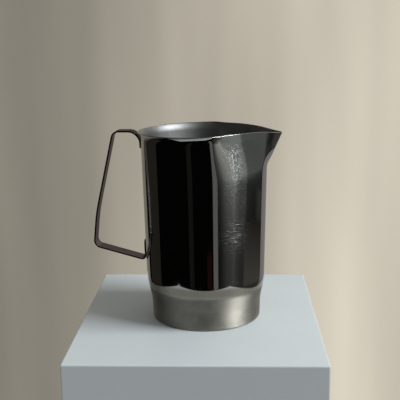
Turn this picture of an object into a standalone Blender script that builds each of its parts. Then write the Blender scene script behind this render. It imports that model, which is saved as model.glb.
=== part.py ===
"""Milk frothing pitcher in stainless steel, about one litre.

A deep-drawn vessel stands on a narrower foot. Its rim flares out and is pressed into a
V-shaped pouring spout. A flat strip, bent to a handle, is spot-welded to the back.

Frame: metres, +Z up, spout along +X, handle along -X. The origin is the centre of the
flat underside, on the surface that the pitcher stands on.
"""

import math

import bmesh
import bpy
from mathutils import Matrix, Vector

MM = 0.001

# Vessel: outer surface
WALL = 0.8 * MM
RIM_HEIGHT = 153.3 * MM          # at the handle side
CORNER_RADIUS = 1.6 * MM         # between the underside and the foot
FOOT_RADIUS = 44.35 * MM         # at the surface it stands on
FOOT_TAPER = 0.040               # growth of radius per unit of height
SHOULDER_LOW = 13.5 * MM         # the foot curves out into the body between these heights
SHOULDER_HIGH = 38.0 * MM
BODY_RADIUS = 48.8 * MM          # at the top of the shoulder
BODY_TAPER = 0.0218
LIP_START = 147.6 * MM           # above this height the wall curves out into a narrow lip
LIP_BEND = 7.5 * MM              # radius of that curve

# Spout: the wall's top is pressed into a circle that runs on into two straight sides
RIDGE_START = 124.0 * MM         # the spout's front edge runs straight from here to the tip
RIDGE_EASE = 0.16                # share of that edge taken by the curve at its lower end
SIDE_START = 114.0 * MM          # the sides are drawn in between here and the lip,
SIDE_POWER = 2.5                 # most of it near the lip
RIDGE_WIDTH = math.radians(38)
OPENING_RADIUS = 50.6 * MM
OPENING_OFFSET = -0.7 * MM
SPOUT_HALF_ANGLE = math.radians(46.5)
SPOUT_APEX = 64.0 * MM           # where the straight sides would meet
OPENING_BLEND = 7.0 * MM         # length over which circle and sides run into each other
TIP_RADIUS = 5.0 * MM
CHEEK_PINCH = 0.7 * MM           # the cheeks beside the spout are drawn in a little more
PINCH_ANGLE = math.radians(66)
PINCH_WIDTH = math.radians(10)
LIP_FADE = (math.radians(70), math.radians(88))   # the lip is ironed out towards the spout
CHEEK_RISE = 1.7 * MM            # the rim rises where the walls are drawn in
RISE_ANGLE = math.radians(44)
RISE_WIDTH = math.radians(54)
TIP_DROP = 2.1 * MM              # and falls at the tip, where the wall is pulled out
TIP_WIDTH = math.radians(17)

# Handle: a bent strip with a tab at each end
STRIP_WIDTH = 12.6 * MM
STRIP_THICKNESS = 1.3 * MM
GAP = 0.3 * MM                   # between touching pieces
TAB_CORNER = 4.0 * MM
TAB_FADE = 8.0 * MM              # the curved tab turns into the flat strip over this length
UPPER_TAB_END = 139.4 * MM
UPPER_TAB_BEND = 144.5 * MM
LOWER_TAB_END = 63.0 * MM
LOWER_TAB_BEND = 47.1 * MM
TOP_LEG = 153.3 * MM
TOP_BEND_RADIUS = 9.5 * MM
LOWER_BEND_RADIUS = 2.6 * MM
GRIP_BEND_RADIUS = 6.0 * MM
GRIP_CURVE_RADIUS = 140.0 * MM
GRIP_TOP = (-73.4 * MM, TOP_LEG)
GRIP_MIDDLE = (-88.95 * MM, 86.4 * MM)
GRIP_BOTTOM = (-91.9 * MM, 58.8 * MM)

# Spot welds: two through each tab
WELD_RADIUS = 1.5 * MM
WELD_SPACING = 6.2 * MM
UPPER_WELD_HEIGHT = 142.0 * MM
LOWER_WELD_HEIGHT = 56.8 * MM

# Mesh density
TURN_STEPS = 64
TIP_CROWDING = 0.5               # moves columns of the turned mesh towards the spout
CORNER_STEPS = 3
STRIP_COLUMNS = 6
ARC_STEP = math.radians(13)

STEEL = (0.60, 0.59, 0.57, 1.0)
WELD_STEEL = (0.42, 0.40, 0.37, 1.0)


def clear_scene():
    for item in list(bpy.data.objects):
        bpy.data.objects.remove(item, do_unlink=True)


def new_collection(name):
    group = bpy.data.collections.new(name)
    bpy.context.scene.collection.children.link(group)
    return group


def metal(name, colour, roughness):
    material = bpy.data.materials.new(name)
    material.use_nodes = True
    shader = material.node_tree.nodes["Principled BSDF"]
    shader.inputs["Base Color"].default_value = colour
    shader.inputs["Metallic"].default_value = 1.0
    shader.inputs["Roughness"].default_value = roughness
    return material


def add_object(name, mesh, group, material=None):
    item = bpy.data.objects.new(name, mesh)
    group.objects.link(item)
    if material:
        mesh.materials.append(material)
    return item


def bake(item):
    """Apply an object's modifiers to a mesh of its own."""
    graph = bpy.context.evaluated_depsgraph_get()
    mesh = bpy.data.meshes.new_from_object(item.evaluated_get(graph))
    item.modifiers.clear()
    item.data = mesh
    return mesh


def smooth(mesh, angle=math.radians(30)):
    mesh.shade_smooth()
    mesh.set_sharp_from_angle(angle=angle)


def smoothstep(value):
    value = min(max(value, 0.0), 1.0)
    return value * value * (3.0 - 2.0 * value)


def bell(value, centre, width):
    return math.exp(-(((value - centre) / width) ** 2))


# ---------------------------------------------------------------- vessel

def wall_radius(height):
    """Outer radius of the turned vessel, without its lip."""
    foot = FOOT_RADIUS + FOOT_TAPER * height
    body = BODY_RADIUS + BODY_TAPER * (height - SHOULDER_HIGH)
    shoulder = smoothstep((height - SHOULDER_LOW) / (SHOULDER_HIGH - SHOULDER_LOW))
    return foot + (body - foot) * shoulder


def lip_reach(height):
    """How far the curved lip stands out from the wall."""
    rise = max(height - LIP_START, 0.0)
    return LIP_BEND - math.sqrt(LIP_BEND ** 2 - rise ** 2)


def spaced(low, high, count):
    return [low + (high - low) * step / count for step in range(count)]


def vessel_profile():
    """Outer profile as (radius, height), from the rim down to the axis."""
    heights = spaced(RIM_HEIGHT, LIP_START, 5)
    heights += spaced(LIP_START, SIDE_START, 8)
    heights += spaced(SIDE_START, SHOULDER_HIGH, 2)
    heights += spaced(SHOULDER_HIGH, SHOULDER_LOW, 7)
    heights += [SHOULDER_LOW]
    points = [(wall_radius(height) + lip_reach(height), height) for height in heights]
    centre = wall_radius(CORNER_RADIUS) - CORNER_RADIUS
    for step in range(CORNER_STEPS + 1):
        turn = math.pi / 2 * step / CORNER_STEPS
        radius = centre + CORNER_RADIUS * math.cos(turn)
        points.append((radius, CORNER_RADIUS * (1 - math.sin(turn))))
    points += [(centre / 2, 0.0), (0.0, 0.0)]
    return points


def circle_reach(angle, centre, radius):
    """Distance from the axis to a circle whose centre lies on the X axis."""
    sideways = centre * math.sin(angle)
    return centre * math.cos(angle) + math.sqrt(radius ** 2 - sideways ** 2)


def side_reach(angle):
    """Distance from the axis to the spout's straight side."""
    return SPOUT_APEX * math.sin(SPOUT_HALF_ANGLE) / math.sin(angle + SPOUT_HALF_ANGLE)


def opening_radius(angle):
    """Distance from the axis to the outline of the wall's top, at an angle from the spout."""
    angle = abs(angle)
    tip = SPOUT_APEX - TIP_RADIUS / math.sin(SPOUT_HALF_ANGLE)
    touch = math.atan2(
        TIP_RADIUS * math.cos(SPOUT_HALF_ANGLE), tip + TIP_RADIUS * math.sin(SPOUT_HALF_ANGLE))
    if angle < touch:
        return circle_reach(angle, tip, TIP_RADIUS)
    foot_of_side = math.pi / 2 - SPOUT_HALF_ANGLE
    if angle < foot_of_side:
        outline = side_reach(angle)
    else:
        outline = circle_reach(angle, OPENING_OFFSET, OPENING_RADIUS)
        if angle < math.pi / 2:
            outline = min(outline, side_reach(angle))
    beyond = min(max(angle, foot_of_side), math.pi / 2)
    gap = circle_reach(beyond, OPENING_OFFSET, OPENING_RADIUS) - side_reach(beyond)
    overlap = max(1.0 - abs(gap) / OPENING_BLEND, 0.0)
    outline -= OPENING_BLEND / 4 * overlap ** 2 * smoothstep(angle / foot_of_side)
    return outline - CHEEK_PINCH * bell(angle, PINCH_ANGLE, PINCH_WIDTH)


def rim_rise(angle):
    """How far the pressed rim stands above or below the turned one."""
    cheek = CHEEK_RISE * bell(abs(angle), RISE_ANGLE, RISE_WIDTH)
    return cheek - TIP_DROP * bell(angle, 0.0, TIP_WIDTH)


def press_share(angle, height):
    """Share of the pressed outline at a height: 0 on the round wall, 1 at the rim."""
    side = (height - SIDE_START) / (LIP_START - SIDE_START)
    side = min(max(side, 0.0), 1.0) ** SIDE_POWER
    ridge = max((height - RIDGE_START) / (RIM_HEIGHT - RIDGE_START), 0.0)
    eased = min(ridge, RIDGE_EASE)
    ridge = (ridge - eased + eased ** 2 / (2 * RIDGE_EASE)) / (1 - RIDGE_EASE / 2)
    return side + (ridge - side) * bell(angle, 0.0, RIDGE_WIDTH)


def press_spout(mesh):
    """Press the turned wall into the opening's outline, fading out down the wall."""
    for vertex in mesh.vertices:
        x, y, height = vertex.co
        radius = math.hypot(x, y)
        angle = math.atan2(y, x)
        angle -= TIP_CROWDING * math.sin(angle)
        lip = smoothstep((abs(angle) - LIP_FADE[0]) / (LIP_FADE[1] - LIP_FADE[0]))
        radius -= (1.0 - lip) * lip_reach(height)
        press = press_share(angle, height)
        radius += press * (opening_radius(angle) - wall_radius(RIM_HEIGHT))
        height += press * rim_rise(angle)
        vertex.co = (radius * math.cos(angle), radius * math.sin(angle), height)


def make_vessel(group):
    mesh = bpy.data.meshes.new("vessel")
    points = [(radius, 0.0, height) for radius, height in vessel_profile()]
    edges = [(index, index + 1) for index in range(len(points) - 1)]
    mesh.from_pydata(points, edges, [])
    vessel = add_object("vessel", mesh, group)
    turn = vessel.modifiers.new("turn", "SCREW")
    turn.axis = "Z"
    turn.steps = TURN_STEPS
    turn.render_steps = TURN_STEPS
    turn.use_merge_vertices = True
    turn.merge_threshold = 0.00001
    mesh = bake(vessel)
    press_spout(mesh)
    mesh.materials.append(metal("polished_steel", STEEL, 0.10))
    wall = vessel.modifiers.new("wall", "SOLIDIFY")
    wall.thickness = WALL
    wall.offset = -1.0
    wall.use_even_offset = True
    smooth(mesh)
    return vessel


# ---------------------------------------------------------------- handle

def tab_distance(height):
    """Distance from the axis to the middle of a tab that lies on the wall."""
    return wall_radius(height) + GAP + STRIP_THICKNESS / 2


def handle_corners():
    """Corners of the strip's middle line in the XZ plane, each with its bend radius."""
    low_tab = Vector((-tab_distance(UPPER_TAB_END), UPPER_TAB_END))
    high_tab = Vector((-tab_distance(UPPER_TAB_BEND), UPPER_TAB_BEND))
    reach = (TOP_LEG - low_tab.y) / (high_tab.y - low_tab.y)
    return [
        (low_tab, 0.0),
        (low_tab.lerp(high_tab, reach), TOP_BEND_RADIUS),
        (Vector(GRIP_TOP), GRIP_BEND_RADIUS),
        (Vector(GRIP_MIDDLE), GRIP_CURVE_RADIUS),
        (Vector(GRIP_BOTTOM), GRIP_BEND_RADIUS),
        (Vector((-tab_distance(LOWER_TAB_BEND), LOWER_TAB_BEND)), LOWER_BEND_RADIUS),
        (Vector((-tab_distance(LOWER_TAB_END), LOWER_TAB_END)), 0.0),
    ]


def rounded_corner(before, corner, after, radius):
    """Points of the arc that rounds one corner of a path."""
    back = (before - corner).normalized()
    ahead = (after - corner).normalized()
    half = back.angle(ahead) / 2
    centre = corner + (back + ahead).normalized() * radius / math.sin(half)
    start = corner + back * radius / math.tan(half) - centre
    turn = math.pi - 2 * half
    if back.cross(ahead) > 0:
        turn = -turn
    count = max(2, math.ceil(abs(turn) / ARC_STEP))
    steps = [turn * step / count for step in range(count + 1)]
    return [centre + Matrix.Rotation(step, 2) @ start for step in steps]


def handle_path():
    corners = handle_corners()
    path = [corners[0][0]]
    for index in range(1, len(corners) - 1):
        before = corners[index - 1][0]
        corner, radius = corners[index]
        after = corners[index + 1][0]
        path += rounded_corner(before, corner, after, radius)
    path.append(corners[-1][0])
    return path


def with_tab_rows(path):
    """Add the rows that round off the corners at both ends of the path."""
    rows = []
    for end, inner in ((path[0], path[1]), (path[-1], path[-2])):
        direction = (inner - end).normalized()
        rows.append([end + direction * TAB_CORNER * part for part in (0.1, 0.3, 0.6, 1.0)])
    return [path[0], *rows[0], *path[1:-1], *reversed(rows[1]), path[-1]]


def lengths_along(path):
    total = 0.0
    lengths = [0.0]
    for before, after in zip(path, path[1:]):
        total += (after - before).length
        lengths.append(total)
    return lengths


def half_width(from_end):
    """Half the strip's width, narrower where a tab's corners are rounded."""
    inset = max(TAB_CORNER - from_end, 0.0)
    return STRIP_WIDTH / 2 - TAB_CORNER + math.sqrt(TAB_CORNER ** 2 - inset ** 2)


def strip_row(point, from_end, tab_length):
    """One row of points across the strip, curved round the wall where it is a tab."""
    wrap = 1.0 - smoothstep((from_end - tab_length) / TAB_FADE)
    radius = tab_distance(point.y)
    row = []
    for column in range(STRIP_COLUMNS + 1):
        y = half_width(from_end) * (2 * column / STRIP_COLUMNS - 1)
        sag = radius - math.sqrt(radius ** 2 - y ** 2)
        row.append((point.x + wrap * sag, y, point.y))
    return row


def make_handle(group, cutters):
    path = with_tab_rows(handle_path())
    lengths = lengths_along(path)
    upper_tab = UPPER_TAB_BEND - UPPER_TAB_END
    lower_tab = LOWER_TAB_END - LOWER_TAB_BEND - LOWER_BEND_RADIUS
    shape = bmesh.new()
    rows = []
    for point, length in zip(path, lengths):
        left = lengths[-1] - length
        if length < left:
            row = strip_row(point, length, upper_tab)
        else:
            row = strip_row(point, left, lower_tab)
        rows.append([shape.verts.new(place) for place in row])
    for low, high in zip(rows, rows[1:]):
        for column in range(STRIP_COLUMNS):
            shape.faces.new((low[column], low[column + 1], high[column + 1], high[column]))
    mesh = bpy.data.meshes.new("handle")
    shape.to_mesh(mesh)
    shape.free()
    handle = add_object("handle", mesh, group, metal("handle_steel", STEEL, 0.16))
    sheet = handle.modifiers.new("sheet", "SOLIDIFY")
    sheet.thickness = STRIP_THICKNESS
    sheet.offset = 0.0
    sheet.use_even_offset = True
    for cutter in cutters:
        hole = handle.modifiers.new(cutter.name, "BOOLEAN")
        hole.operation = "DIFFERENCE"
        hole.solver = "EXACT"
        hole.object = cutter
    smooth(mesh)
    return handle


# ---------------------------------------------------------------- spot welds

def weld_places():
    """Name, height and angle round the axis of each weld."""
    places = []
    for level, height in (("upper", UPPER_WELD_HEIGHT), ("lower", LOWER_WELD_HEIGHT)):
        swing = math.asin(WELD_SPACING / 2 / tab_distance(height))
        places.append((f"weld_{level}_right", height, math.pi + swing))
        places.append((f"weld_{level}_left", height, math.pi - swing))
    return places


def make_plug(name, height, angle, radius, depth, group, material=None):
    """A short cylinder through a tab, square to the wall."""
    shape = bmesh.new()
    bmesh.ops.create_cone(
        shape, cap_ends=True, segments=16, radius1=radius, radius2=radius, depth=depth)
    mesh = bpy.data.meshes.new(name)
    shape.to_mesh(mesh)
    shape.free()
    lean = math.atan2(wall_radius(height + MM) - wall_radius(height - MM), 2 * MM)
    plug = add_object(name, mesh, group, material)
    place = Matrix.Rotation(angle, 4, "Z") @ Matrix.Translation((tab_distance(height), 0, height))
    plug.matrix_world = place @ Matrix.Rotation(math.pi / 2 + lean, 4, "Y")
    return plug


def make_hole_cutters(group):
    cutters = []
    for name, height, angle in weld_places():
        cutter = make_plug(
            name.replace("weld", "hole"), height, angle, WELD_RADIUS + GAP, 6 * MM, group)
        cutter.hide_render = True
        cutter.display_type = "WIRE"
        cutters.append(cutter)
    return cutters


def make_welds(group):
    material = metal("weld_steel", WELD_STEEL, 0.35)
    for name, height, angle in weld_places():
        plug = make_plug(name, height, angle, WELD_RADIUS, STRIP_THICKNESS, group, material)
        smooth(plug.data)


def main():
    clear_scene()
    parts = new_collection("milk_frothing_pitcher")
    cutters = new_collection("cutters")
    make_vessel(parts)
    make_handle(parts, make_hole_cutters(cutters))
    make_welds(parts)


main()
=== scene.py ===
"""Looks of a steel milk frothing pitcher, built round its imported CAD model.

Every piece of the pitcher is made again here as a fine mesh in the CAD's frame: metres, +Z up,
spout along +X, handle along -X, the origin on the surface that it stands on. The polished wall
is a mirror, so most of what it shows is the room: a pale plinth, a beige cloth behind, a window
to the right, and dim upright shapes round the camera.
"""

import math

import bpy
import numpy as np
from mathutils import Matrix, Vector

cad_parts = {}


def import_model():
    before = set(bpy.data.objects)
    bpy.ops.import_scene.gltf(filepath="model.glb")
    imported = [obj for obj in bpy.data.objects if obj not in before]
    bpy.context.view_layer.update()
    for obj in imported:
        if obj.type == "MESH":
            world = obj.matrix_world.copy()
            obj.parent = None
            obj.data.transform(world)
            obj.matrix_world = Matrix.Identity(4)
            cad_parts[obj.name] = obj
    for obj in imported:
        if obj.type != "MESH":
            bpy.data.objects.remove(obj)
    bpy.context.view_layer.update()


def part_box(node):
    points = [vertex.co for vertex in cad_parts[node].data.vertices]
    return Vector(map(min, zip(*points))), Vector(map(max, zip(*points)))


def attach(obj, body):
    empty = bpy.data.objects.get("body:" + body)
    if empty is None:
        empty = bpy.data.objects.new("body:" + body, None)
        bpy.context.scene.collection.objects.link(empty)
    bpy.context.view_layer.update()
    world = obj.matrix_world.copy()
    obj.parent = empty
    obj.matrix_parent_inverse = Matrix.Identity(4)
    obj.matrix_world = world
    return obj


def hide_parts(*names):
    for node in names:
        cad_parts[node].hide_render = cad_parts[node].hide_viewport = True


MM = 0.001

# Vessel: the laws of its outer surface, as in the CAD
WALL = 0.8 * MM
RIM_HEIGHT = 153.3 * MM
CORNER_RADIUS = 1.6 * MM
FOOT_RADIUS = 44.35 * MM
FOOT_TAPER = 0.040
SHOULDER_LOW = 13.5 * MM
SHOULDER_HIGH = 38.0 * MM
BODY_RADIUS = 48.8 * MM
BODY_TAPER = 0.0218
LIP_START = 147.6 * MM
LIP_BEND = 7.5 * MM
RIDGE_START = 124.0 * MM
RIDGE_EASE = 0.16
SIDE_START = 114.0 * MM
SIDE_POWER = 2.5
RIDGE_WIDTH = math.radians(38)
OPENING_RADIUS = 50.6 * MM
OPENING_OFFSET = -0.7 * MM
SPOUT_HALF_ANGLE = math.radians(46.5)
SPOUT_APEX = 64.0 * MM
OPENING_BLEND = 7.0 * MM
TIP_RADIUS = 5.0 * MM
CHEEK_PINCH = 0.7 * MM
PINCH_ANGLE = math.radians(66)
PINCH_WIDTH = math.radians(10)
LIP_FADE = (math.radians(70), math.radians(88))
CHEEK_RISE = 1.7 * MM
RISE_ANGLE = math.radians(44)
RISE_WIDTH = math.radians(54)
TIP_DROP = 2.1 * MM
TIP_WIDTH = math.radians(17)
EDGE_ROUNDING = 0.22 * MM        # of the rim's cut edge
COLUMNS = 320
TIP_CROWDING = 0.5               # how far the columns crowd towards the spout

# Handle: a bent strip with a tab at each end
STRIP_WIDTH = 12.6 * MM
STRIP_THICKNESS = 1.3 * MM
STRIP_ROUNDING = 0.12 * MM
TAB_GAP = 0.04 * MM
TAB_CORNER = 4.0 * MM
TAB_FADE = 8.0 * MM
UPPER_TAB_END = 139.4 * MM
UPPER_TAB_BEND = 144.5 * MM
LOWER_TAB_END = 63.0 * MM
LOWER_TAB_BEND = 47.1 * MM
TOP_LEG = 153.3 * MM
TOP_BEND_RADIUS = 9.5 * MM
LOWER_BEND_RADIUS = 2.6 * MM
GRIP_BEND_RADIUS = 6.0 * MM
GRIP_CURVE_RADIUS = 140.0 * MM
GRIP_TOP = (-73.4 * MM, TOP_LEG)
GRIP_MIDDLE = (-88.95 * MM, 86.4 * MM)
GRIP_BOTTOM = (-91.9 * MM, 58.8 * MM)
ARC_STEP = math.radians(3)
STRAIGHT_STEP = 3.0 * MM
STRIP_COLUMNS = 14               # of faces across the strip's flat sides
ARC_FACES = 4                    # in each rounded corner of its section
EDGE_POINTS = 2 * ARC_FACES      # between its two flat sides

# Spot welds: shallow craters on the outer face of each tab
WELD_SPACING = 6.2 * MM
UPPER_WELD_HEIGHT = 142.0 * MM
LOWER_WELD_HEIGHT = 56.8 * MM
WELD_PROFILE = (                 # radius and height above the tab's face, in mm
    (0.0, 0.02), (0.45, 0.025), (0.85, 0.045), (1.05, 0.085), (1.2, 0.12),
    (1.32, 0.115), (1.42, 0.07), (1.5, 0.0), (1.5, -0.25), (0.0, -0.25))
WELD_STEPS = 40

# Camera: the view that the room is arranged for
CAMERA_PLACE = (0.04562, -0.62124, 0.23067)
CAMERA_HEADING = math.radians(-4.594)
CAMERA_TILT = math.radians(12.155)
CAMERA_ROLL = math.radians(-0.6990)
CAMERA_LENS = 70.31
CAMERA_BEARING = math.degrees(math.atan2(CAMERA_PLACE[1], CAMERA_PLACE[0]))

# Colours of the steel
MIRROR_STEEL = (0.42, 0.415, 0.40)
SCRATCHED_STEEL = (0.78, 0.80, 0.78)
# Painted shade: colour of the dark band round the shoulder, between the satin foot and the mirror
SHOULDER_PAINTED_SHADE = (0.24, 0.22, 0.18)
FOOT_STEEL = (0.42, 0.395, 0.345)
STAINED_STEEL = (0.24, 0.22, 0.185)
# Painted shade: the inside's steel is darker than the outer steel, with paler random patches
SHADED_SATIN_STEEL = (0.25, 0.25, 0.245)
PALER_SHADED_SATIN = (0.34, 0.34, 0.335)
CUT_STEEL = (0.60, 0.59, 0.57)
STRIP_STEEL = (0.30, 0.285, 0.29)
WORN_STRIP = (0.24, 0.23, 0.23)
# Painted shade: near-black colours of the strip's edge faces
STRIP_EDGE_SHADE = (0.17, 0.16, 0.155)
DARKEST_EDGE_SHADE = (0.09, 0.085, 0.08)
STRAW_WELD = (0.46, 0.40, 0.30)
GREY_WELD = (0.34, 0.32, 0.31)

# Finish of the wall: heights between which it changes, heights of a band of painted shade where the
# satin turns to mirror, and the wall's marks as (centre, reach)
SATIN_ENDS = (25 * MM, 30.5 * MM)
SHADE_BAND_ENDS = (34 * MM, 37 * MM)
HAZE = (25 * MM, -43 * MM, 118 * MM), (26 * MM, 26 * MM, 62 * MM)
HAIRS = (33 * MM, -38 * MM, 48 * MM), (24 * MM, 24 * MM, 30 * MM)
SCUFF = (25 * MM, -43 * MM, 78 * MM), (24 * MM, 24 * MM, 24 * MM)

# Stage: a plinth, a cloth behind it, a window and cards that only the steel mirrors
PLINTH_LOW = (-101.4 * MM, -108.2 * MM, -240 * MM)
PLINTH_HIGH = (90.7 * MM, 105.0 * MM, 0.0)
PLINTH_TURN = math.radians(2.3)
PLINTH_BEVEL = 1.2 * MM
PLINTH_DARK = (0.47, 0.50, 0.505)
PLINTH_PALE = (0.53, 0.56, 0.565)
CLOTH_COLOUR = (1.0, 0.92, 0.76)
CLOTH_LIGHT = (0.25, 0.74)       # at its left and right
CLOTH_FADE = 0.45                # from the middle to each of them
CLOTH_WIDTH = 2.02
CLOTH_REACH = 1.6
CLOTH_AWAY = 1.05
CLOTH_BEND = 0.10
CLOTH_STEPS = 40
STAGE_HEIGHT = 0.08              # middle of the pitcher, which the lights look at
WINDOW_BEARING = 72.0
WINDOW_ELEVATION = 40.0
WINDOW_DISTANCE = 2.6
WINDOW_HALF_ANGLE = math.radians(13.0)
WINDOW_COLOUR = (0.93, 0.97, 1.0)
WINDOW_RADIANCE = 19.0
LEVEL_ELEVATION = -13.0          # at which the wall mirrors the room at half its height
CARD_COLUMNS = 24
CARD_ROWS = 12


# ---------------------------------------------------------------- laws of the vessel's surface

def smoothstep(value):
    value = np.clip(value, 0.0, 1.0)
    return value * value * (3.0 - 2.0 * value)


def bell(value, centre, width):
    return np.exp(-(((value - centre) / width) ** 2))


def wall_radius(height):
    foot = FOOT_RADIUS + FOOT_TAPER * height
    body = BODY_RADIUS + BODY_TAPER * (height - SHOULDER_HIGH)
    shoulder = smoothstep((height - SHOULDER_LOW) / (SHOULDER_HIGH - SHOULDER_LOW))
    return foot + (body - foot) * shoulder


def lip_reach(height):
    rise = np.maximum(height - LIP_START, 0.0)
    return LIP_BEND - np.sqrt(LIP_BEND ** 2 - rise ** 2)


def circle_reach(angle, centre, radius):
    sideways = np.clip(centre * np.sin(angle), -radius, radius)
    return centre * np.cos(angle) + np.sqrt(radius ** 2 - sideways ** 2)


def side_reach(angle):
    return SPOUT_APEX * math.sin(SPOUT_HALF_ANGLE) / np.sin(angle + SPOUT_HALF_ANGLE)


def opening_radius(angle):
    """Distance from the axis to the wall's top: a circle, two straight sides and a round tip."""
    angle = np.abs(angle)
    tip = SPOUT_APEX - TIP_RADIUS / math.sin(SPOUT_HALF_ANGLE)
    touch = math.atan2(
        TIP_RADIUS * math.cos(SPOUT_HALF_ANGLE), tip + TIP_RADIUS * math.sin(SPOUT_HALF_ANGLE))
    foot_of_side = math.pi / 2 - SPOUT_HALF_ANGLE
    back = circle_reach(angle, OPENING_OFFSET, OPENING_RADIUS)
    side = side_reach(np.minimum(angle, math.pi / 2))
    beyond = np.clip(angle, foot_of_side, math.pi / 2)
    gap = circle_reach(beyond, OPENING_OFFSET, OPENING_RADIUS) - side_reach(beyond)
    overlap = np.maximum(1.0 - np.abs(gap) / OPENING_BLEND, 0.0)
    outline = np.where(angle < foot_of_side, side, np.minimum(back, side))
    outline = outline - OPENING_BLEND / 4 * overlap ** 2 * smoothstep(angle / foot_of_side)
    outline = outline - CHEEK_PINCH * bell(angle, PINCH_ANGLE, PINCH_WIDTH)
    return np.where(angle < touch, circle_reach(angle, tip, TIP_RADIUS), outline)


def rim_rise(angle):
    cheek = CHEEK_RISE * bell(np.abs(angle), RISE_ANGLE, RISE_WIDTH)
    return cheek - TIP_DROP * bell(angle, 0.0, TIP_WIDTH)


def press_share(angle, height):
    side = np.clip((height - SIDE_START) / (LIP_START - SIDE_START), 0.0, 1.0) ** SIDE_POWER
    ridge = np.maximum((height - RIDGE_START) / (RIM_HEIGHT - RIDGE_START), 0.0)
    eased = np.minimum(ridge, RIDGE_EASE)
    ridge = (ridge - eased + eased ** 2 / (2 * RIDGE_EASE)) / (1 - RIDGE_EASE / 2)
    return side + (ridge - side) * bell(angle, 0.0, RIDGE_WIDTH)


def outer_surface(angle, height):
    """Points of the pressed wall, for arrays of angles and of heights on the turned wall."""
    lip = smoothstep((np.abs(angle) - LIP_FADE[0]) / (LIP_FADE[1] - LIP_FADE[0]))
    press = press_share(angle, height)
    radius = wall_radius(height) + lip * lip_reach(height)
    radius = radius + press * (opening_radius(angle) - wall_radius(RIM_HEIGHT))
    height = height + press * rim_rise(angle)
    return np.stack([radius * np.cos(angle), radius * np.sin(angle), height], axis=-1)


def spaced(low, high, count):
    return [low + (high - low) * step / count for step in range(count)]


def unit(vectors):
    return vectors / np.linalg.norm(vectors, axis=-1, keepdims=True)


# ---------------------------------------------------------------- mesh helpers

def new_object(name, mesh, *materials):
    for material in materials:
        mesh.materials.append(material)
    item = bpy.data.objects.new(name, mesh)
    bpy.context.scene.collection.objects.link(item)
    return item


def smooth(mesh, angle=math.radians(35)):
    mesh.shade_smooth()
    mesh.set_sharp_from_angle(angle=angle)


def ring_faces(rows, columns):
    """Quads between neighbouring rings of points, each ring closed on itself."""
    faces = []
    for row in range(rows - 1):
        low = row * columns
        high = low + columns
        for column in range(columns):
            beside = (column + 1) % columns
            faces.append((low + column, low + beside, high + beside, high + column))
    return faces


# ---------------------------------------------------------------- vessel

def vessel_rings():
    """Rings of points from the middle of the underside, up the outside and down the inside.

    Returns the rings as an array, and for each ring the index of its material."""
    raw = np.linspace(-math.pi, math.pi, COLUMNS, endpoint=False)
    angle = raw - TIP_CROWDING * np.sin(raw)
    heights = spaced(CORNER_RADIUS, SHOULDER_LOW, 8)
    heights += spaced(SHOULDER_LOW, SHOULDER_HIGH, 26)
    heights += spaced(SHOULDER_HIGH, SIDE_START, 14)
    heights += spaced(SIDE_START, LIP_START, 34)
    heights += spaced(LIP_START, RIM_HEIGHT, 18) + [RIM_HEIGHT]
    wall = outer_surface(angle[None, :], np.array(heights)[:, None])

    up = unit(np.gradient(wall, axis=0))
    round_axis = (np.roll(wall, -1, axis=1) - np.roll(wall, 1, axis=1))
    normal = unit(np.cross(round_axis, up))
    inner = wall - WALL * normal

    rim_normal, rim_up = normal[-1], unit(np.cross(normal[-1], round_axis[-1]))
    rim = wall[-1]
    edge = []
    for turn in np.linspace(0.0, math.pi / 2, 5):
        inward = EDGE_ROUNDING * (1 - math.cos(turn))
        below = EDGE_ROUNDING * (1 - math.sin(turn))
        edge.append(rim - inward * rim_normal - below * rim_up)
    for turn in np.linspace(math.pi / 2, 0.0, 5):
        inward = WALL - EDGE_ROUNDING * (1 - math.cos(turn))
        below = EDGE_ROUNDING * (1 - math.sin(turn))
        edge.append(rim - inward * rim_normal - below * rim_up)

    def corner(radius, low):
        """Rings of the rounded corner round the underside, from its flat part up to the foot."""
        centre = wall_radius(CORNER_RADIUS) - CORNER_RADIUS
        steps = np.linspace(0.0, math.pi / 2, 8)[:-1]
        return [(centre + radius * math.sin(turn), low + radius * (1 - math.cos(turn)))
                for turn in steps]

    def level_rings(profile):
        return [np.stack([radius * np.cos(angle), radius * np.sin(angle),
                          np.full(COLUMNS, height)], axis=-1) for radius, height in profile]

    centre = wall_radius(CORNER_RADIUS) - CORNER_RADIUS
    flat = [0.02, 0.25, 0.5, 0.75, 0.93]
    under = level_rings([(centre * share, 0.0) for share in flat] + corner(CORNER_RADIUS, 0.0))
    floor = level_rings([(centre * share, WALL) for share in flat]
                        + corner(CORNER_RADIUS - WALL, WALL))
    outside, inside, cut = 0, 1, 2
    rings = under + list(wall[:-1]) + edge + list(inner[-2::-1]) + floor[::-1]
    slots = [outside] * (len(under) + len(wall) - 2)
    slots += [cut] * (len(edge) + 1) + [inside] * (len(inner) + len(floor) - 2)
    return np.array(rings), slots


def make_vessel(*materials):
    rings, slots = vessel_rings()
    low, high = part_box("vessel")
    flat = rings.reshape(-1, 3)
    size = flat.max(0) - flat.min(0)
    flat = (flat - flat.min(0)) / size * np.array(high - low) + np.array(low)
    faces = ring_faces(len(rings), COLUMNS)
    last = len(flat) - COLUMNS
    faces.append(tuple(reversed(range(COLUMNS))))
    faces.append(tuple(range(last, last + COLUMNS)))
    mesh = bpy.data.meshes.new("vessel_wall")
    mesh.from_pydata(flat.tolist(), [], faces)
    slot_of_face = [slot for slot in slots for _ in range(COLUMNS)] + [0, 1]
    vessel = new_object("vessel_wall", mesh, *materials)
    mesh.polygons.foreach_set("material_index", slot_of_face)
    smooth(mesh)
    return vessel


# ---------------------------------------------------------------- handle

def tab_distance(height):
    return float(wall_radius(height)) + TAB_GAP + STRIP_THICKNESS / 2


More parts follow.
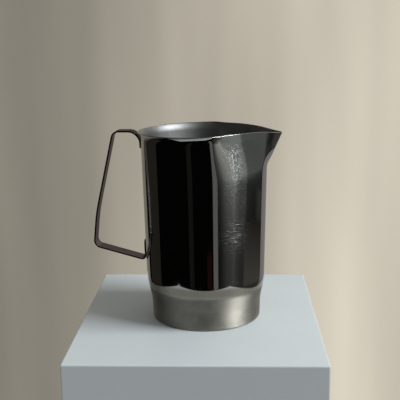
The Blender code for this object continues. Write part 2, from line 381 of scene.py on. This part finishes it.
def handle_corners():
    low_tab = Vector((-tab_distance(UPPER_TAB_END), UPPER_TAB_END))
    high_tab = Vector((-tab_distance(UPPER_TAB_BEND), UPPER_TAB_BEND))
    reach = (TOP_LEG - low_tab.y) / (high_tab.y - low_tab.y)
    return [
        (low_tab, 0.0),
        (low_tab.lerp(high_tab, reach), TOP_BEND_RADIUS),
        (Vector(GRIP_TOP), GRIP_BEND_RADIUS),
        (Vector(GRIP_MIDDLE), GRIP_CURVE_RADIUS),
        (Vector(GRIP_BOTTOM), GRIP_BEND_RADIUS),
        (Vector((-tab_distance(LOWER_TAB_BEND), LOWER_TAB_BEND)), LOWER_BEND_RADIUS),
        (Vector((-tab_distance(LOWER_TAB_END), LOWER_TAB_END)), 0.0),
    ]


def rounded_corner(before, corner, after, radius):
    back = (before - corner).normalized()
    ahead = (after - corner).normalized()
    half = back.angle(ahead) / 2
    centre = corner + (back + ahead).normalized() * radius / math.sin(half)
    start = corner + back * radius / math.tan(half) - centre
    turn = math.pi - 2 * half
    if back.cross(ahead) > 0:
        turn = -turn
    count = max(2, math.ceil(abs(turn) / ARC_STEP))
    return [centre + Matrix.Rotation(turn * step / count, 2) @ start for step in range(count + 1)]


def handle_path():
    """The strip's middle line in the XZ plane, with rows no further apart than STRAIGHT_STEP."""
    corners = handle_corners()
    bends = [corners[0][0]]
    for index in range(1, len(corners) - 1):
        corner, radius = corners[index]
        bends += rounded_corner(corners[index - 1][0], corner, corners[index + 1][0], radius)
    bends.append(corners[-1][0])
    path = []
    for start, end in zip(bends, bends[1:]):
        count = max(1, math.ceil((end - start).length / STRAIGHT_STEP))
        path += [start.lerp(end, step / count) for step in range(count)]
    path.append(bends[-1])
    return with_end_rows(path)


def with_end_rows(path):
    """Close rows near both ends, for the tab's round corners and its rounded edge."""
    near = [0.02, 0.08, 0.18, 0.35, 0.6, 1.0, 1.6, 2.3, 3.1]
    start, end = path[0], path[-1]
    inner = [p for p in path if (p - start).length > 3.6 * MM and (p - end).length > 3.6 * MM]
    ahead = (path[1] - start).normalized()
    back = (path[-2] - end).normalized()
    head = [start + ahead * step * MM for step in near]
    tail = [end + back * step * MM for step in reversed(near)]
    return [start] + head + inner + tail + [end]


def rounded_end(full, radius, from_end):
    """Half a width or thickness, less where the end is rounded off."""
    inset = max(radius - from_end, 0.0)
    return full - radius + math.sqrt(max(radius ** 2 - inset ** 2, 0.0))


def strip_section(half_width, half_thickness, rounding):
    """Closed outline of the strip's section as (across, outwards) pairs."""
    flat = half_width - rounding
    across = [flat * (2 * column / STRIP_COLUMNS - 1) for column in range(STRIP_COLUMNS + 1)]
    outline = [(y, half_thickness) for y in across]
    arc = [math.pi / 2 * (1 - step / ARC_FACES) for step in range(1, ARC_FACES)]
    deep = half_thickness - rounding
    outline += [(flat + rounding * math.cos(a), deep + rounding * math.sin(a)) for a in arc]
    outline += [(half_width, deep), (half_width, -deep)]
    outline += [(flat + rounding * math.cos(a), -deep - rounding * math.sin(a))
                for a in reversed(arc)]
    outline += [(y, -half_thickness) for y in reversed(across)]
    outline += [(-flat - rounding * math.cos(a), -deep - rounding * math.sin(a)) for a in arc]
    outline += [(-half_width, -deep), (-half_width, deep)]
    outline += [(-flat - rounding * math.cos(a), deep + rounding * math.sin(a))
                for a in reversed(arc)]
    return outline


def make_handle(*materials):
    path = handle_path()
    steps = [(after - before).length for before, after in zip(path, path[1:])]
    lengths = [sum(steps[:index]) for index in range(len(path))]
    upper_tab = UPPER_TAB_BEND - UPPER_TAB_END
    lower_tab = LOWER_TAB_END - LOWER_TAB_BEND - LOWER_BEND_RADIUS
    points = []
    for index, point in enumerate(path):
        before = path[max(index - 1, 0)]
        after = path[min(index + 1, len(path) - 1)]
        ahead = (after - before).normalized()
        outward = Vector((-ahead.y, ahead.x))
        from_start, from_finish = lengths[index], lengths[-1] - lengths[index]
        from_end = min(from_start, from_finish)
        tab = upper_tab if from_start < from_finish else lower_tab
        wrap = 1.0 - float(smoothstep((from_end - tab) / TAB_FADE))
        radius = tab_distance(point.y)
        width = rounded_end(STRIP_WIDTH / 2, TAB_CORNER, from_end)
        thickness = rounded_end(STRIP_THICKNESS / 2, STRIP_ROUNDING, from_end)
        rounding = min(STRIP_ROUNDING, thickness * 0.8)
        for y, depth in strip_section(width, thickness, rounding):
            sag = radius - math.sqrt(radius ** 2 - y ** 2)
            place = point + outward * depth
            points.append((place.x + wrap * sag, y, place.y))
    columns = len(points) // len(path)
    faces = ring_faces(len(path), columns)
    for first, order in ((0, -1), (len(points) - columns, 1)):
        top = [first + column for column in range(STRIP_COLUMNS + 1)]
        edge = STRIP_COLUMNS + 1
        low_start = first + edge + EDGE_POINTS
        bottom = [low_start + STRIP_COLUMNS - column for column in range(STRIP_COLUMNS + 1)]
        right = list(range(first + edge, low_start))
        left = list(range(low_start + STRIP_COLUMNS + 1, first + columns))
        for column in range(STRIP_COLUMNS):
            face = (top[column], top[column + 1], bottom[column + 1], bottom[column])
            faces.append(face[::order])
        faces.append(tuple([top[-1], *right, bottom[-1]])[::order])
        faces.append(tuple([bottom[0], *left, top[0]])[::order])
    mesh = bpy.data.meshes.new("handle_strip")
    mesh.from_pydata(points, [], faces)
    handle = new_object("handle_strip", mesh, *materials)
    # The strip's edge faces take the material with painted shade
    flat_side, shaded_edge = 0, 1
    slots = 2 * ([flat_side] * STRIP_COLUMNS + [shaded_edge] * (EDGE_POINTS + 1)) * (len(path) - 1)
    slots += [shaded_edge] * (len(faces) - len(slots))
    mesh.polygons.foreach_set("material_index", slots)
    smooth(mesh, math.radians(40))
    return handle


# ---------------------------------------------------------------- spot welds

def make_weld(name, height, swing, material):
    """A shallow crater on a tab's outer face."""
    rings = []
    for radius, rise in WELD_PROFILE[1:-1]:
        for step in range(WELD_STEPS):
            turn = 2 * math.pi * step / WELD_STEPS
            rings.append((radius * MM * math.cos(turn), radius * MM * math.sin(turn), rise * MM))
    faces = ring_faces(len(WELD_PROFILE) - 2, WELD_STEPS)
    top = len(rings)
    rings += [(0.0, 0.0, WELD_PROFILE[0][1] * MM), (0.0, 0.0, WELD_PROFILE[-1][1] * MM)]
    last = top - WELD_STEPS
    for step in range(WELD_STEPS):
        beside = (step + 1) % WELD_STEPS
        faces.append((top, beside, step))
        faces.append((top + 1, last + step, last + beside))
    faces = [face[::-1] for face in faces]
    mesh = bpy.data.meshes.new(name)
    mesh.from_pydata(rings, [], faces)
    radius = tab_distance(height) + STRIP_THICKNESS / 2
    lean = math.atan2(float(wall_radius(height + MM) - wall_radius(height - MM)), 2 * MM)
    place = Matrix.Rotation(math.pi + swing, 4, "Z") @ Matrix.Translation((radius, 0, height))
    mesh.transform(place @ Matrix.Rotation(math.pi / 2 + lean, 4, "Y"))
    weld = new_object(name, mesh, material)
    smooth(mesh, math.radians(60))
    return weld


# ---------------------------------------------------------------- materials

class Look:
    """A material's node graph, with short calls for its nodes."""

    def __init__(self, name):
        self.material = bpy.data.materials.new(name)
        self.material.use_nodes = True
        self.nodes = self.material.node_tree.nodes
        self.links = self.material.node_tree.links
        self.place = self.nodes.new("ShaderNodeTexCoord").outputs["Object"]
        self.shader = self.nodes["Principled BSDF"]

    def put(self, value, socket):
        if isinstance(value, bpy.types.NodeSocket):
            self.links.new(value, socket)
        else:
            socket.default_value = value

    def drive(self, name, value):
        self.put(value, self.shader.inputs[name])

    def math(self, operation, *values):
        node = self.nodes.new("ShaderNodeMath")
        node.operation = operation
        for index, value in enumerate(values):
            self.put(value, node.inputs[index])
        return node.outputs[0]

    def times(self, first, second):
        return self.math("MULTIPLY", first, second)

    def plus(self, start, *terms):
        """A start value plus masks, each given with its share."""
        for mask, share in terms:
            start = self.math("ADD", start, self.times(mask, share))
        return start

    def stretch(self, scale):
        node = self.nodes.new("ShaderNodeMapping")
        node.inputs["Scale"].default_value = scale
        self.links.new(self.place, node.inputs["Vector"])
        return node.outputs[0]

    def noise(self, scale, detail=3.0, roughness=0.55, distortion=0.0, vector=None):
        node = self.nodes.new("ShaderNodeTexNoise")
        node.inputs["Scale"].default_value = scale
        node.inputs["Detail"].default_value = detail
        node.inputs["Roughness"].default_value = roughness
        node.inputs["Distortion"].default_value = distortion
        self.links.new(vector or self.place, node.inputs["Vector"])
        return node.outputs[0]

    def spots(self, scale):
        node = self.nodes.new("ShaderNodeTexVoronoi")
        node.inputs["Scale"].default_value = scale
        self.links.new(self.place, node.inputs["Vector"])
        return node.outputs["Distance"]

    def ramp(self, value, low, high, out_low=0.0, out_high=1.0, kind="SMOOTHSTEP"):
        node = self.nodes.new("ShaderNodeMapRange")
        node.interpolation_type = kind
        self.put(value, node.inputs["Value"])
        for name, number in (("From Min", low), ("From Max", high),
                             ("To Min", out_low), ("To Max", out_high)):
            node.inputs[name].default_value = number
        return node.outputs[0]

    def curve(self, value, stops):
        """A value turned into a brightness by (value, brightness) stops between 0 and 1."""
        node = self.nodes.new("ShaderNodeValToRGB")
        self.links.new(value, node.inputs[0])
        elements = node.color_ramp.elements
        while len(elements) < len(stops):
            elements.new(0.5)
        for element, (place, brightness) in zip(elements, stops):
            element.position = place
            element.color = (brightness, brightness, brightness, 1.0)
        return node.outputs[0]

    def line(self, value, middle, width):
        """1 on the contour where a value passes its middle, and 0 beside it."""
        off = self.math("ABSOLUTE", self.math("SUBTRACT", value, middle))
        return self.ramp(off, 0.0, width, 1.0, 0.0)

    def axes(self, vector):
        node = self.nodes.new("ShaderNodeSeparateXYZ")
        self.links.new(vector, node.inputs[0])
        return node.outputs

    def blob(self, centre, size):
        """1 at a place on the object, falling to 0 at a distance given along each axis."""
        move = self.nodes.new("ShaderNodeMapping")
        move.inputs["Location"].default_value = [-c / s for c, s in zip(centre, size)]
        move.inputs["Scale"].default_value = [1 / s for s in size]
        self.links.new(self.place, move.inputs["Vector"])
        length = self.nodes.new("ShaderNodeVectorMath")
        length.operation = "LENGTH"
        self.links.new(move.outputs[0], length.inputs[0])
        return self.ramp(length.outputs["Value"], 0.0, 1.0, 1.0, 0.0)

    def mix(self, factor, first, second):
        node = self.nodes.new("ShaderNodeMix")
        self.put(factor, node.inputs[0])
        self.put(first, node.inputs[2])
        self.put(second, node.inputs[3])
        return node.outputs[0]

    def tint(self, factor, first, second):
        node = self.nodes.new("ShaderNodeMix")
        node.data_type = "RGBA"
        self.put(factor, node.inputs[0])
        for index, colour in ((6, first), (7, second)):
            linked = isinstance(colour, bpy.types.NodeSocket)
            self.put(colour if linked else (*colour, 1.0), node.inputs[index])
        return node.outputs[2]


class Surface(Look):
    """A Principled material. Its keywords are socket names, with _ for each space."""

    def __init__(self, name, colour, metallic=1.0, **sockets):
        super().__init__(name)
        self.shader.inputs["Base Color"].default_value = (*colour, 1.0)
        self.shader.inputs["Metallic"].default_value = metallic
        for socket, value in sockets.items():
            self.shader.inputs[socket.replace("_", " ")].default_value = value

    def bump(self, height, distance, strength=1.0):
        node = self.nodes.new("ShaderNodeBump")
        node.inputs["Strength"].default_value = strength
        node.inputs["Distance"].default_value = distance
        self.put(height, node.inputs["Height"])
        self.links.new(node.outputs[0], self.shader.inputs["Normal"])

    def brush_round(self):
        """Highlights stretch up and down, as on metal that was brushed while it turned."""
        node = self.nodes.new("ShaderNodeTangent")
        node.direction_type = "RADIAL"
        node.axis = "Z"
        self.links.new(node.outputs[0], self.shader.inputs["Tangent"])


class Glow(Look):
    """A material that only shines."""

    def __init__(self, name, colour, strength):
        super().__init__(name)
        self.nodes.remove(self.shader)
        self.shader = self.nodes.new("ShaderNodeEmission")
        self.shader.inputs["Color"].default_value = (*colour, 1.0)
        self.shader.inputs["Strength"].default_value = strength
        self.links.new(self.shader.outputs[0], self.nodes["Material Output"].inputs[0])


def wall_marks(look, clouds):
    """Masks of the haze that a wipe left, the drops dried on it, and the scratches."""
    haze = look.times(look.blob(*HAZE), look.ramp(clouds, 0.35, 0.65, 0.35, 1.0))
    dried = look.times(haze, look.ramp(look.noise(900.0, 2.0, 0.7), 0.52, 0.60))
    hairs = look.line(look.noise(14.0, 2.0, 0.5, 0.6, look.stretch((1, 1, 5))), 0.5, 0.0022)
    hairs = look.times(hairs, look.ramp(look.noise(30.0, 2.0), 0.42, 0.55))
    hairs = look.times(hairs, look.blob(*HAIRS))
    rubbed = look.line(look.noise(60.0, 3.0, 0.6, 0.4, look.stretch((1, 1, 14))), 0.5, 0.018)
    scuff = look.times(look.blob(*SCUFF), rubbed)
    return haze, dried, look.math("MAXIMUM", hairs, scuff)


def foot_colour(look):
    """Satin steel with water stains and small dark spots."""
    stain = look.ramp(look.noise(70.0, 5.0, 0.65), 0.42, 0.7)
    dots = look.ramp(look.spots(330.0), 0.10, 0.2, 1.0, 0.0)
    dots = look.times(dots, look.ramp(look.noise(120.0, 1.0), 0.56, 0.62))
    dirt = look.math("MAXIMUM", look.times(stain, 0.45), dots)
    return look.tint(dirt, FOOT_STEEL, STAINED_STEEL)


def outside_steel():
    """Mirror polish on the wall, turning to satin on the foot, with a band of painted shade where
    they meet.
    """
    look = Surface("polished_steel", MIRROR_STEEL, Anisotropic=0.9, Anisotropic_Rotation=0.25)
    look.brush_round()
    height = look.axes(look.place)["Z"]
    foot = look.ramp(height, *SATIN_ENDS, 1.0, 0.0)
    lines = look.noise(1.0, 2.0, vector=look.stretch((60, 60, 3500)))
    clouds = look.noise(38.0, 4.0, 0.6)
    haze, dried, scratches = wall_marks(look, clouds)

    polish = look.plus(0.03, (clouds, 0.03), (haze, 0.05), (dried, 0.17), (scratches, 0.28))
    satin = look.plus(0.46, (look.ramp(clouds, 0.3, 0.7), 0.08), (lines, 0.08))
    look.drive("Roughness", look.mix(foot, polish, satin))

    pale = look.math("MAXIMUM", look.times(dried, 0.5), scratches)
    wall = look.tint(pale, MIRROR_STEEL, SCRATCHED_STEEL)
    colour = look.tint(foot, wall, foot_colour(look))
    # Painted shade: a dark band round the shoulder, from 25 to 37 mm up, where the satin turns to
    # mirror
    shoulder = look.times(look.ramp(height, *SATIN_ENDS),
                          look.ramp(height, *SHADE_BAND_ENDS, 1.0, 0.0))
    look.drive("Base Color", look.tint(shoulder, colour, SHOULDER_PAINTED_SHADE))

    grooves = look.times(lines, look.math("ADD", 0.05, foot))
    look.bump(look.plus(grooves, (scratches, -0.8), (dried, 0.6)), 0.004 * MM)
    return look.material


def inside_steel():
    """Satin inside, brushed round and round. Its colour is darker than the outer steel's: painted
    shade of the cup's inside, with paler patches at random.
    """
    look = Surface("shaded_satin_steel", SHADED_SATIN_STEEL, Anisotropic=0.4, Anisotropic_Rotation=0.25)
    look.brush_round()
    lines = look.noise(1.0, 3.0, vector=look.stretch((45, 45, 2600)))
    clouds = look.noise(30.0, 4.0, 0.6)
    look.drive("Roughness", look.plus(0.46, (clouds, 0.06), (lines, 0.06)))
    look.drive("Base Color", look.tint(look.ramp(clouds, 0.4, 0.7), SHADED_SATIN_STEEL, PALER_SHADED_SATIN))
    look.bump(lines, 0.004 * MM)
    return look.material


def cut_steel():
    """The trimmed edge of the rim, lightly ground."""
    look = Surface("cut_steel", CUT_STEEL)
    grain = look.noise(700.0, 3.0, 0.6)
    look.drive("Roughness", look.plus(0.10, (grain, 0.12)))
    look.bump(grain, 0.006 * MM)
    return look.material


def strip_steel():
    """Polished strip with fine lines along it and patches of wear."""
    look = Surface("handle_steel", STRIP_STEEL, Specular_Tint=(0.25, 0.235, 0.25, 1.0))
    clouds = look.noise(55.0, 4.0, 0.6)
    lines = look.noise(1.0, 2.0, vector=look.stretch((40, 3200, 40)))
    wear = look.ramp(clouds, 0.3, 0.75)
    look.drive("Roughness", look.plus(0.07, (wear, 0.10), (lines, 0.05)))
    look.drive("Base Color", look.tint(look.ramp(clouds, 0.45, 0.75), STRIP_STEEL, WORN_STRIP))
    look.bump(lines, 0.004 * MM)
    return look.material


def strip_edge_painted_shade():
    """Sheared edges of the strip, dull, with painted shade: near-black, with random grain."""
    look = Surface("strip_edge", STRIP_EDGE_SHADE, Roughness=0.26, Specular_Tint=(0.2, 0.2, 0.2, 1.0))
    grain = look.noise(260.0, 3.0, 0.6)
    look.drive("Base Color", look.tint(grain, STRIP_EDGE_SHADE, DARKEST_EDGE_SHADE))
    return look.material


def weld_steel():
    """Spot welds: duller, with a faint straw heat tint."""
    look = Surface("weld_steel", STRAW_WELD)
    grain = look.noise(1400.0, 3.0, 0.6)
    look.drive("Roughness", look.plus(0.28, (grain, 0.2)))
    look.drive("Base Color", look.tint(grain, STRAW_WELD, GREY_WELD))
    look.bump(grain, 0.01 * MM)
    return look.material


def plinth_paint():
    look = Surface("plinth_paint", PLINTH_PALE, metallic=0.0, Roughness=0.45,
                   Specular_IOR_Level=0.2)
    look.drive("Base Color", look.tint(look.noise(14.0, 3.0), PLINTH_DARK, PLINTH_PALE))
    look.bump(look.noise(260.0, 3.0), 0.03 * MM, 0.4)
    return look.material


# ---------------------------------------------------------------- stage and light

def make_plinth():
    low, high = Vector(PLINTH_LOW), Vector(PLINTH_HIGH)
    mesh = bpy.data.meshes.new("plinth")
    corners = [(x, y, z) for z in (low.z, high.z) for x, y in
               ((low.x, low.y), (high.x, low.y), (high.x, high.y), (low.x, high.y))]
    sides = [(0, 1, 5, 4), (1, 2, 6, 5), (2, 3, 7, 6), (3, 0, 4, 7)]
    mesh.from_pydata(corners, [], [(3, 2, 1, 0), (4, 5, 6, 7), *sides])
    plinth = new_object("plinth", mesh, plinth_paint())
    plinth.rotation_euler.z = PLINTH_TURN
    bevel = plinth.modifiers.new("bevel", "BEVEL")
    bevel.width = PLINTH_BEVEL
    bevel.segments = 3


def make_backdrop():
    """A cloth behind the pitcher that glows instead of being lit: painted light, dimmer to the
    left, with painted shade in soft upright creases.
    """
    look = Glow("backdrop", CLOTH_COLOUR, 1.0)
    # Painted light and shade: the glow falls off to the left, and noise paints the shade of upright
    # creases
    light = look.ramp(look.axes(look.place)["X"], -CLOTH_FADE, CLOTH_FADE, *CLOTH_LIGHT, "LINEAR")
    fold_shade = look.noise(5.0, 2.0, 0.5, vector=look.stretch((1.0, 1.0, 0.12)))
    look.drive("Strength", look.times(light, look.ramp(fold_shade, 0.3, 0.7, 0.8, 1.15, "LINEAR")))
    points = []
    for step in range(CLOTH_STEPS + 1):
        x = CLOTH_WIDTH * (step / CLOTH_STEPS - 0.5)
        y = CLOTH_AWAY - CLOTH_BEND * x * x
        points += [(x, y, -CLOTH_REACH), (x, y, CLOTH_REACH)]
    faces = [(2 * s, 2 * s + 2, 2 * s + 3, 2 * s + 1) for s in range(CLOTH_STEPS)]
    mesh = bpy.data.meshes.new("backdrop")
    mesh.from_pydata(points, [], faces)
    backdrop = new_object("backdrop", mesh, look.material)
    smooth(mesh)


def bearing_place(bearing, distance, elevation):
    """A place at a bearing in degrees to the right of the camera, as seen from the pitcher."""
    turn = math.radians(CAMERA_BEARING + bearing)
    rise = math.radians(elevation)
    flat = distance * math.cos(rise)
    return Vector((flat * math.cos(turn), flat * math.sin(turn), distance * math.sin(rise)))


def card_light(name, bearings, elevations, colour, strength, across, upright):
    """A card's glow, faded by (bearing, share) and (elevation, share) stops if they are given."""
    look = Glow(name, colour, strength)
    if across:
        map_places = look.axes(look.nodes.new("ShaderNodeUVMap").outputs[0])
        shares = []
        for place, (low, high), stops in zip(map_places, (bearings, elevations), (across, upright)):
            shares.append(look.curve(place, [((degrees - low) / (high - low), share)
                                             for degrees, share in stops]))
        look.drive("Strength", look.times(look.times(*shares), strength))
    return look.material


def make_card(name, bearings, elevations, distance, colour, strength, lean=0.0,
              across=(), upright=()):
    """Part of an upright cylinder round the pitcher that shines inwards, unseen by the camera.

    Its bearing falls by its lean for each degree that it rises."""
    points, places = [], []
    for step in range(CARD_COLUMNS + 1):
        for rise in range(CARD_ROWS + 1):
            u, v = step / CARD_COLUMNS, rise / CARD_ROWS
            elevation = elevations[0] + (elevations[1] - elevations[0]) * v
            bearing = bearings[0] + (bearings[1] - bearings[0]) * u
            bearing -= lean * (elevation - LEVEL_ELEVATION)
            height = STAGE_HEIGHT + distance * math.tan(math.radians(elevation))
            points.append(bearing_place(bearing, distance, 0.0) + Vector((0, 0, height)))
            places.append((u, v))
    row = CARD_ROWS + 1
    faces = [(s * row + r, s * row + r + 1, s * row + row + r + 1, s * row + row + r)
             for s in range(CARD_COLUMNS) for r in range(CARD_ROWS)]
    mesh = bpy.data.meshes.new(name)
    mesh.from_pydata(points, [], faces)
    layer = mesh.uv_layers.new(name="UVMap")
    for loop in mesh.loops:
        layer.data[loop.index].uv = places[loop.vertex_index]
    light = card_light(name, bearings, elevations, colour, strength, across, upright)
    card = new_object(name, mesh, light)
    card.visible_camera = False
    card.visible_shadow = False


def make_cards():
    """What the polished wall mirrors: the dim upright shapes of a room.

    The last two meet the doorway's tone where they end beside it."""
    make_card("stripe", (13.5, 22.0), (-40, 30), 1.6, (1.0, 0.99, 1.0), 0.18, 0.10)
    make_card("faint_stripe", (-31.0, -22.5), (-40, 30), 1.6, (1.0, 1.0, 0.85), 0.013, 0.10)
    make_card("left_wall", (-130.0, -95.0), (-40, 30), 1.9, (1.0, 0.95, 0.75), 0.026)
    make_card("left_ceiling", (-105.0, -45.0), (3, 38), 1.9, (1.0, 0.95, 0.8), 0.07)
    make_card("side_wall", (125.0, 152.0), (-45, 20), 0.95, (1.0, 0.92, 0.95), 0.30)
    make_card("red_thing", (3.0, 11.0), (-27, -18.5), 1.6, (1.0, 0.4, 0.36), 0.018)
    make_card(
        "doorway", (22.0, 124.0), (-40, 35), 1.8, (0.97, 1.0, 0.95), 4.0,
        across=((22, 0.02), (29, 0.05), (35, 0.11), (41, 0.16), (47, 0.18), (53, 0.24), (59, 0.15),
                (66, 0.11), (79, 0.09), (80.5, 0.035), (102, 0.025), (111, 0.05), (124, 0.07)),
        upright=((-40, 0.08), (-18.9, 0.10), (-15.5, 0.15), (-13.7, 0.22), (-11.9, 0.26),
                 (-9.9, 0.36), (-9, 0.52), (-7.3, 0.62), (0, 0.62), (35, 0.25)))
    make_card(
        "high_room", (60.0, 124.0), (-11.5, 35), 1.7, (0.93, 1.0, 0.98), 0.45,
        across=((60, 0.85), (77.9, 0.75), (81.8, 0.36), (124, 0.30)),
        upright=((-11.5, 0.2), (-9.6, 0.3), (-5.9, 1.0), (35, 0.7)))
    make_card(
        "low_room", (76.0, 124.0), (-40, -14.5), 1.75, (1.0, 0.98, 0.85), 0.085,
        across=((76, 1.0), (124, 1.0)), upright=((-40, 1.0), (-20.1, 1.0), (-14.5, 0.25)))


def make_window():
    light = bpy.data.lights.new("window", "AREA")
    light.shape = "RECTANGLE"
    light.size = light.size_y = 2 * WINDOW_DISTANCE * math.tan(WINDOW_HALF_ANGLE)
    light.color = WINDOW_COLOUR
    light.energy = WINDOW_RADIANCE * math.pi * light.size * light.size_y
    lamp = bpy.data.objects.new("window", light)
    bpy.context.scene.collection.objects.link(lamp)
    centre = Vector((0, 0, STAGE_HEIGHT))
    lamp.location = centre + bearing_place(WINDOW_BEARING, WINDOW_DISTANCE, WINDOW_ELEVATION)
    lamp.rotation_euler = (centre - lamp.location).to_track_quat("-Z", "Y").to_euler()
    lamp.visible_camera = False


def make_world():
    """Pale for the camera, soft and even on matt surfaces, and a dark room in the steel."""
    world = bpy.data.worlds.new("room")
    bpy.context.scene.world = world
    world.use_nodes = True
    nodes, links = world.node_tree.nodes, world.node_tree.links
    nodes.clear()
    path = nodes.new("ShaderNodeLightPath")
    out = nodes.new("ShaderNodeOutputWorld")

    def background(colour, strength):
        node = nodes.new("ShaderNodeBackground")
        node.inputs["Color"].default_value = (*colour, 1.0)
        node.inputs["Strength"].default_value = strength
        return node.outputs[0]

    def choose(factor, first, second):
        node = nodes.new("ShaderNodeMixShader")
        links.new(factor, node.inputs[0])
        links.new(first, node.inputs[1])
        links.new(second, node.inputs[2])
        return node.outputs[0]

    lit = background((0.95, 0.98, 1.0), 0.50)
    mirrored = background((1.0, 0.95, 0.85), 0.002)
    seen = background(CLOTH_COLOUR, 0.34)
    result = choose(path.outputs["Is Glossy Ray"], lit, mirrored)
    result = choose(path.outputs["Is Camera Ray"], result, seen)
    links.new(result, out.inputs[0])


def make_camera():
    camera = bpy.data.cameras.new("camera")
    camera.lens = CAMERA_LENS
    camera.sensor_width = 36.0
    camera.clip_start = 0.01
    item = bpy.data.objects.new("camera", camera)
    bpy.context.scene.collection.objects.link(item)
    forward = Vector((math.sin(CAMERA_HEADING) * math.cos(CAMERA_TILT),
                      math.cos(CAMERA_HEADING) * math.cos(CAMERA_TILT), -math.sin(CAMERA_TILT)))
    right = forward.cross(Vector((0, 0, 1))).normalized()
    up = right.cross(forward)
    across = math.cos(CAMERA_ROLL) * right + math.sin(CAMERA_ROLL) * up
    axes = Matrix((across, across.cross(forward), -forward)).transposed()
    item.matrix_world = Matrix.Translation(CAMERA_PLACE) @ axes.to_4x4()
    bpy.context.scene.camera = item


def main():
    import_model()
    vessel = make_vessel(outside_steel(), inside_steel(), cut_steel())
    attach(vessel, "root")
    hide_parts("vessel")
    handle = make_handle(strip_steel(), strip_edge_painted_shade())
    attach(handle, "root")
    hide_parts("handle")
    tint = weld_steel()
    for level, height in (("upper", UPPER_WELD_HEIGHT), ("lower", LOWER_WELD_HEIGHT)):
        swing = math.asin(WELD_SPACING / 2 / tab_distance(height))
        for side, turn in (("right", swing), ("left", -swing)):
            weld = make_weld(f"spot_weld_{level}_{side}", height, turn, tint)
            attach(weld, "root")
            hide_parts(f"weld_{level}_{side}")
    make_plinth()
    make_backdrop()
    make_window()
    make_cards()
    make_world()
    make_camera()
    bpy.context.scene.view_settings.view_transform = "Standard"


main()
